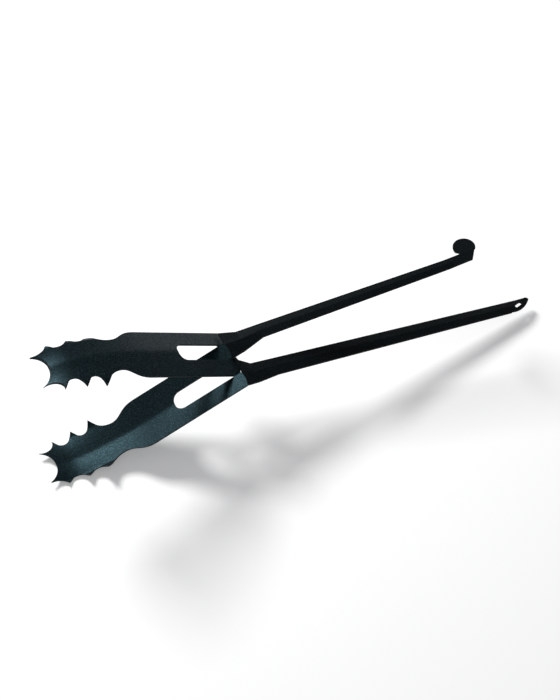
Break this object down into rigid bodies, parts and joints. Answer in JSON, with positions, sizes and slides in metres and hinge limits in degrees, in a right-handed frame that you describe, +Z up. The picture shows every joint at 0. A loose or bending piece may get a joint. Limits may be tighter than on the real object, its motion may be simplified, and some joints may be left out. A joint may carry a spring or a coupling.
{
  "type": "kitchen tongs",
  "caption": "Spring loaded scissor tongs with two folded, toothed and forked jaws, a pin and torsion spring at the crossing, and two strap handles, one with a round thumb tab and one with a hanging slot",
  "frame": {"origin": "centre of the base of the bounding box, on the surface that the tongs stand on", "axes": "+Z up, the way the upper jaw opens; +X from the jaws to the handle ends; +Y across, along the hinge pin"},
  "size_m": [0.4448, 0.0576, 0.1201],
  "materials": {
    "jaw_coat": "fine speckled dark powder coat",
    "handle_coat": "fine speckled dark powder coat",
    "ear_steel": "dark powder coat",
    "pivot_steel": "satin",
    "spring_steel": "drawn wire"
  },
  "bodies": {
    "fixed_arm": {"upper_jaw": "jaw_coat", "lower_handle": "handle_coat", "upper_jaw_ear": "ear_steel", "lower_handle_ear": "ear_steel", "hinge_pin": "pivot_steel", "pin_ring": "pivot_steel", "washer_far": "pivot_steel", "washer_near": "pivot_steel", "torsion_spring": "spring_steel"},
    "moving_arm": {"lower_jaw": "jaw_coat", "upper_handle": "handle_coat", "lower_jaw_ear_far": "ear_steel", "lower_jaw_ear_near": "ear_steel"}
  },
  "joints": [
    {"name": "squeeze", "type": "hinge", "parent": "fixed_arm", "child": "moving_arm", "pos_m": [-0.06009, 0, 0.05104], "axis": [0, 1, 0], "range_deg": [0, 39], "stiffness_Nm_per_rad": 1.5, "springref_deg": -20.05, "deforming": ["torsion_spring"]}
  ]
}
